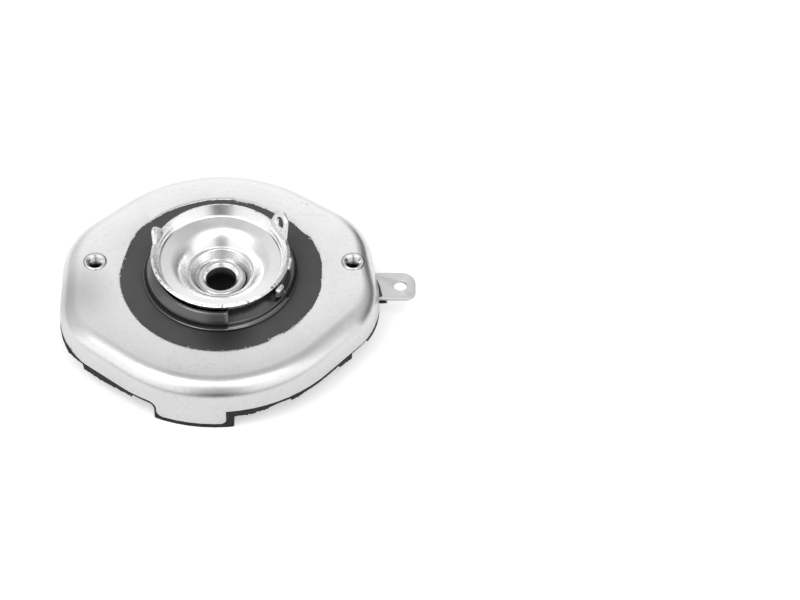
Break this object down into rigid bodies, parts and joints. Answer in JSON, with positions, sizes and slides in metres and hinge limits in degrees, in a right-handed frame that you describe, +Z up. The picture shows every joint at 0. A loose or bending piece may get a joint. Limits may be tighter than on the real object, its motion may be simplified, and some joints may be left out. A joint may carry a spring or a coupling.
{
  "type": "strut mount",
  "caption": "Suspension strut mount: a lobed pressed steel dish with bonded rubber, a rod sleeve in a stepped cup with ears, a black stop ring, weld nuts and a side lug.",
  "frame": {"origin": "on the rod's axis, at the sleeve's upper face where the rod nut seats", "axes": "+Z up along the rod's axis to the car body, +X towards the side lug, -Y towards the tongue"},
  "size_m": [0.1691, 0.141, 0.0536],
  "materials": {
    "zinc_steel": "satin",
    "rubber": "matte",
    "plain_steel": "satin",
    "sleeve_steel": "satin",
    "bright_steel": "bright",
    "black_plastic": "gloss",
    "nut_steel": "satin",
    "lug_steel": "satin"
  },
  "bodies": {
    "root": {"housing": "zinc_steel", "rubber_body": "rubber", "inner_dish": "plain_steel", "center_sleeve": "sleeve_steel", "rebound_cup": "bright_steel", "stop_ring": "black_plastic", "left_weld_nut": "nut_steel", "right_weld_nut": "nut_steel", "side_lug": "lug_steel"}
  },
  "joints": []
}
